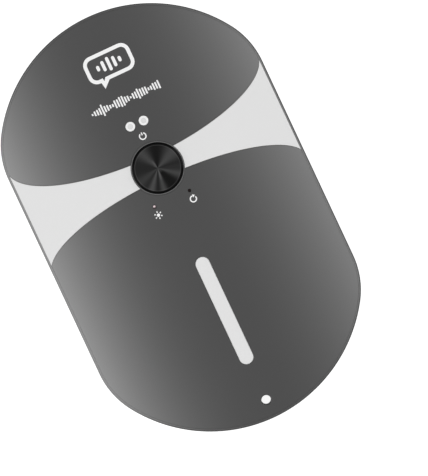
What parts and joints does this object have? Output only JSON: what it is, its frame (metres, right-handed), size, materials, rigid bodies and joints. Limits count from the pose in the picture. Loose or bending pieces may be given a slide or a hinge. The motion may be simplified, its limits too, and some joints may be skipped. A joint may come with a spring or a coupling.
{
  "type": "handheld voice translator",
  "caption": "Slim pill-shaped handheld voice translator with a press button, indicator lights, a light bar, a speaker grille, a charging port and a lanyard hole.",
  "frame": {"origin": "middle of the flat back face, at the case's centre of width and length", "axes": "+X across the case to the right seen from the front, +Y towards the top end, +Z out of the front face"},
  "size_m": [0.064, 0.1008, 0.0138],
  "materials": {
    "housing_plastic": "fine satin moulded plastic",
    "anodised_plate": "dark grey anodised, finely brushed",
    "light_inlay": "light grey satin",
    "bezel_metal": "satin anodised",
    "spun_black_metal": "black anodised, spun face",
    "frosted_light_guide": "milky frosted",
    "pink_light_pipe": "milky, faintly pink",
    "adhesive_sheet": "double-sided tape",
    "black_plastic": "matt black",
    "epoxy_package": "matt epoxy",
    "led_package": "clear over pale yellow",
    "red_led_package": "clear over pale red",
    "board_laminate": "green solder mask",
    "tinned_steel": "bright tinned sheet",
    "port_steel": "bright stamped steel",
    "white_acetal": "off-white",
    "red_acetal": "waxy dark red",
    "gold_can": "gold plated",
    "black_rubber": "soft matt",
    "ceramic_parts": "small fired parts",
    "pouch_foil": "laminated foil pouch",
    "lead_insulation": "red and black insulation",
    "nylon_connector": "natural nylon",
    "nickel_magnet": "nickel plated",
    "speaker_cone": "thin formed film",
    "woven_mesh": "fine black cloth",
    "screw_steel": "nickel plated steel"
  },
  "bodies": {
    "case": {"rear_shell": "housing_plastic", "front_shell": "housing_plastic", "upper_fascia": "anodised_plate", "lower_fascia": "anodised_plate", "band_inlay_left": "light_inlay", "band_inlay_right": "light_inlay", "fascia_adhesive": "adhesive_sheet", "button_bezel": "bezel_metal", "indicator_light_guide": "frosted_light_guide", "status_light_pipe": "pink_light_pipe", "light_bar_lens": "frosted_light_guide", "light_bar_baffle": "black_plastic", "light_bar_leds": "led_package", "indicator_leds": "led_package", "status_led": "red_led_package", "main_board": "board_laminate", "power_switch_body": "black_plastic", "power_switch_cover": "tinned_steel", "power_switch_dome": "tinned_steel", "reset_switch_body": "black_plastic", "reset_switch_cover": "tinned_steel", "reset_switch_dome": "tinned_steel", "charging_port_shell": "port_steel", "charging_port_tongue": "black_plastic", "microphones": "gold_can", "microphone_boots": "black_rubber", "radio_module": "board_laminate", "radio_shield": "tinned_steel", "processor_chip": "epoxy_package", "memory_chip": "epoxy_package", "processor_shield": "tinned_steel", "charging_chip": "epoxy_package", "board_passives": "ceramic_parts", "battery_cell": "pouch_foil", "battery_tape": "adhesive_sheet", "battery_leads": "lead_insulation", "battery_socket": "nylon_connector", "battery_plug": "nylon_connector", "speaker_basket": "black_plastic", "speaker_magnet": "nickel_magnet", "speaker_diaphragm": "speaker_cone", "speaker_gasket": "black_rubber", "speaker_mesh": "woven_mesh", "speaker_leads": "lead_insulation", "case_screws": "screw_steel"},
    "power_button": {"button_cap": "spun_black_metal", "button_carrier": "black_plastic"},
    "power_switch_key": {"power_switch_plunger": "white_acetal"},
    "reset_switch_key": {"reset_switch_plunger": "red_acetal"}
  },
  "joints": [
    {"name": "power_button_press", "type": "slide", "parent": "case", "child": "power_button", "axis": [0, 0, -1], "range_m": [0, 0.0003], "stiffness_N_per_m": 4000, "springref_m": -0.0001, "deforming": ["power_switch_dome"]},
    {"name": "power_switch_travel", "type": "slide", "parent": "case", "child": "power_switch_key", "axis": [0, 0, -1], "range_m": [0, 0.0003]},
    {"name": "reset_switch_press", "type": "slide", "parent": "case", "child": "reset_switch_key", "axis": [0, 0, -1], "range_m": [0, 0.00025], "stiffness_N_per_m": 4000, "springref_m": -0.0001, "deforming": ["reset_switch_dome"]}
  ],
  "couplings": [
    {"joint": "power_switch_travel", "follows": "power_button_press", "ratio": 1}
  ]
}
